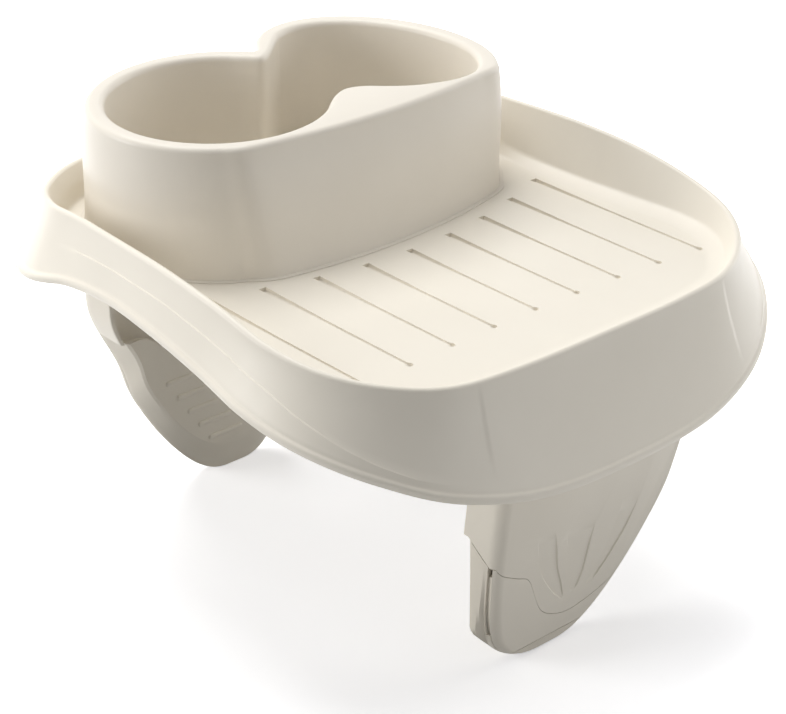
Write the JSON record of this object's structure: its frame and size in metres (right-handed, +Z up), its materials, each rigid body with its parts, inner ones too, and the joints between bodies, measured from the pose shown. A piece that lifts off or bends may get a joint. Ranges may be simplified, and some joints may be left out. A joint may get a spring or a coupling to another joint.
{
  "type": "hot tub tray",
  "caption": "Flared tray with drain grooves, joined open cup wells and plug-in fin legs that straddle the soft wall of a hot tub.",
  "frame": {"origin": "on the level that both feet stand on, under the middle of the tray's bounding box", "axes": "+Z up; +X along the tub wall that passes between the legs; -Y the front, with the drain grooves; +Y the rear, with the cup wells"},
  "size_m": [0.2818, 0.304, 0.2218],
  "materials": {
    "tray_plastic": "satin warm ivory moulding",
    "cup_plastic": "satin warm ivory moulding",
    "shell_plastic": "satin warm ivory moulding",
    "grip_plastic": "satin warm ivory moulding, slightly softer sheen"
  },
  "bodies": {
    "tray": {"tray_deck": "tray_plastic", "cup_block": "cup_plastic"},
    "front_leg": {"front_leg_upper_shell": "shell_plastic", "front_leg_lower_shell": "shell_plastic", "front_leg_grip_plate": "grip_plastic"},
    "rear_leg": {"rear_leg_upper_shell": "shell_plastic", "rear_leg_lower_shell": "shell_plastic", "rear_leg_grip_plate": "grip_plastic"}
  },
  "joints": [
    {"name": "front_leg_pull", "type": "slide", "parent": "tray", "child": "front_leg", "axis": [0, 0.0896, -0.996], "range_m": [0, 0.05]},
    {"name": "rear_leg_pull", "type": "slide", "parent": "tray", "child": "rear_leg", "axis": [0, -0.0465, -0.9989], "range_m": [0, 0.05]}
  ]
}
